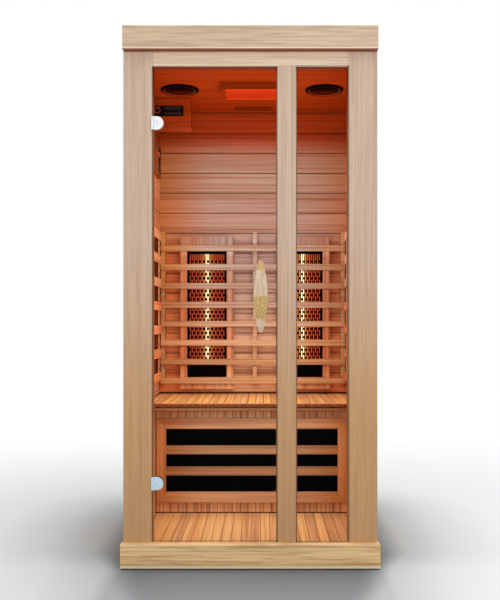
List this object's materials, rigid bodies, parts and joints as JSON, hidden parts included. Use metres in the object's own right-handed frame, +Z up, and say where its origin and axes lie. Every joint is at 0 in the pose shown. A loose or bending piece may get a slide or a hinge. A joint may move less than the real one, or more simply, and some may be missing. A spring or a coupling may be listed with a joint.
{
  "type": "infrared sauna cabin",
  "caption": "Timber one-person infrared sauna cabin with a glazed front, hinged glass door, slatted bench and backrest, tube and panel heaters, ceiling light, speakers and music player.",
  "frame": {"origin": "on the ground under the middle of the plinth", "axes": "+Z up, +X to the right seen from the front, the glazed front faces -Y"},
  "size_m": [0.908, 0.898, 1.9],
  "materials": {
    "outer_wood": "pale softwood, satin",
    "inner_wood": "warm softwood, satin",
    "black_metal": "matt black",
    "black_plastic": "satin black",
    "chrome": "polished",
    "glass": "clear",
    "quartz_tube": "glowing quartz",
    "red_lens": "lit translucent red"
  },
  "bodies": {
    "cabin": {"plinth_front": "outer_wood", "plinth_rear": "outer_wood", "plinth_left": "outer_wood", "plinth_right": "outer_wood", "wall_left": "outer_wood", "wall_right": "outer_wood", "wall_back": "outer_wood", "cap_front": "outer_wood", "cap_rear": "outer_wood", "cap_left": "outer_wood", "cap_right": "outer_wood", "roof_cover": "outer_wood", "stile_left": "outer_wood", "stile_right": "outer_wood", "mullion": "outer_wood", "glazing_bead": "outer_wood", "header_rail": "outer_wood", "floor_deck": "inner_wood", "ceiling": "inner_wood", "bench_top": "inner_wood", "bench_front_rail": "inner_wood", "bench_riser": "inner_wood", "calf_guard": "inner_wood", "backrest": "inner_wood", "heater_frame_left": "inner_wood", "heater_frame_right": "inner_wood", "side_guard_left": "inner_wood", "side_guard_right": "inner_wood", "light_box": "inner_wood", "ceiling_vent": "inner_wood", "player_housing": "inner_wood", "control_surround": "inner_wood", "power_box": "black_metal", "calf_heater": "black_metal", "heater_grille_left": "black_metal", "heater_grille_right": "black_metal", "heater_housing_left": "black_metal", "heater_housing_right": "black_metal", "side_heater_left": "black_metal", "side_heater_right": "black_metal", "speaker_left": "black_plastic", "speaker_right": "black_plastic", "player_face": "black_plastic", "control_panel": "black_plastic", "hinge_leaf_upper": "chrome", "hinge_leaf_lower": "chrome", "fixed_glass": "glass", "heater_tube_left": "quartz_tube", "heater_tube_right": "quartz_tube", "light_diffuser": "red_lens"},
    "door": {"door_glass": "glass", "hinge_clamp_upper": "chrome", "hinge_clamp_lower": "chrome", "hinge_backplate_upper": "chrome", "hinge_backplate_lower": "chrome", "handle_outer": "outer_wood", "handle_inner": "outer_wood"},
    "knob": {"player_knob": "black_plastic"},
    "start": {"start_button": "black_plastic"},
    "light": {"light_button": "black_plastic"}
  },
  "joints": [
    {"name": "door_hinge", "type": "hinge", "parent": "cabin", "child": "door", "pos_m": [-0.345, -0.415, 0.9275], "axis": [0, 0, -1], "range_deg": [0, 105]},
    {"name": "volume_knob", "type": "hinge", "parent": "cabin", "child": "knob", "pos_m": [-0.404, 0.1847, 1.7625], "axis": [0, -1, 0], "continuous": true},
    {"name": "start_press", "type": "slide", "parent": "cabin", "child": "start", "axis": [-1, 0, 0], "range_m": [0, 0.0015], "stiffness_N_per_m": 300},
    {"name": "light_press", "type": "slide", "parent": "cabin", "child": "light", "axis": [-1, 0, 0], "range_m": [0, 0.0015], "stiffness_N_per_m": 300}
  ]
}
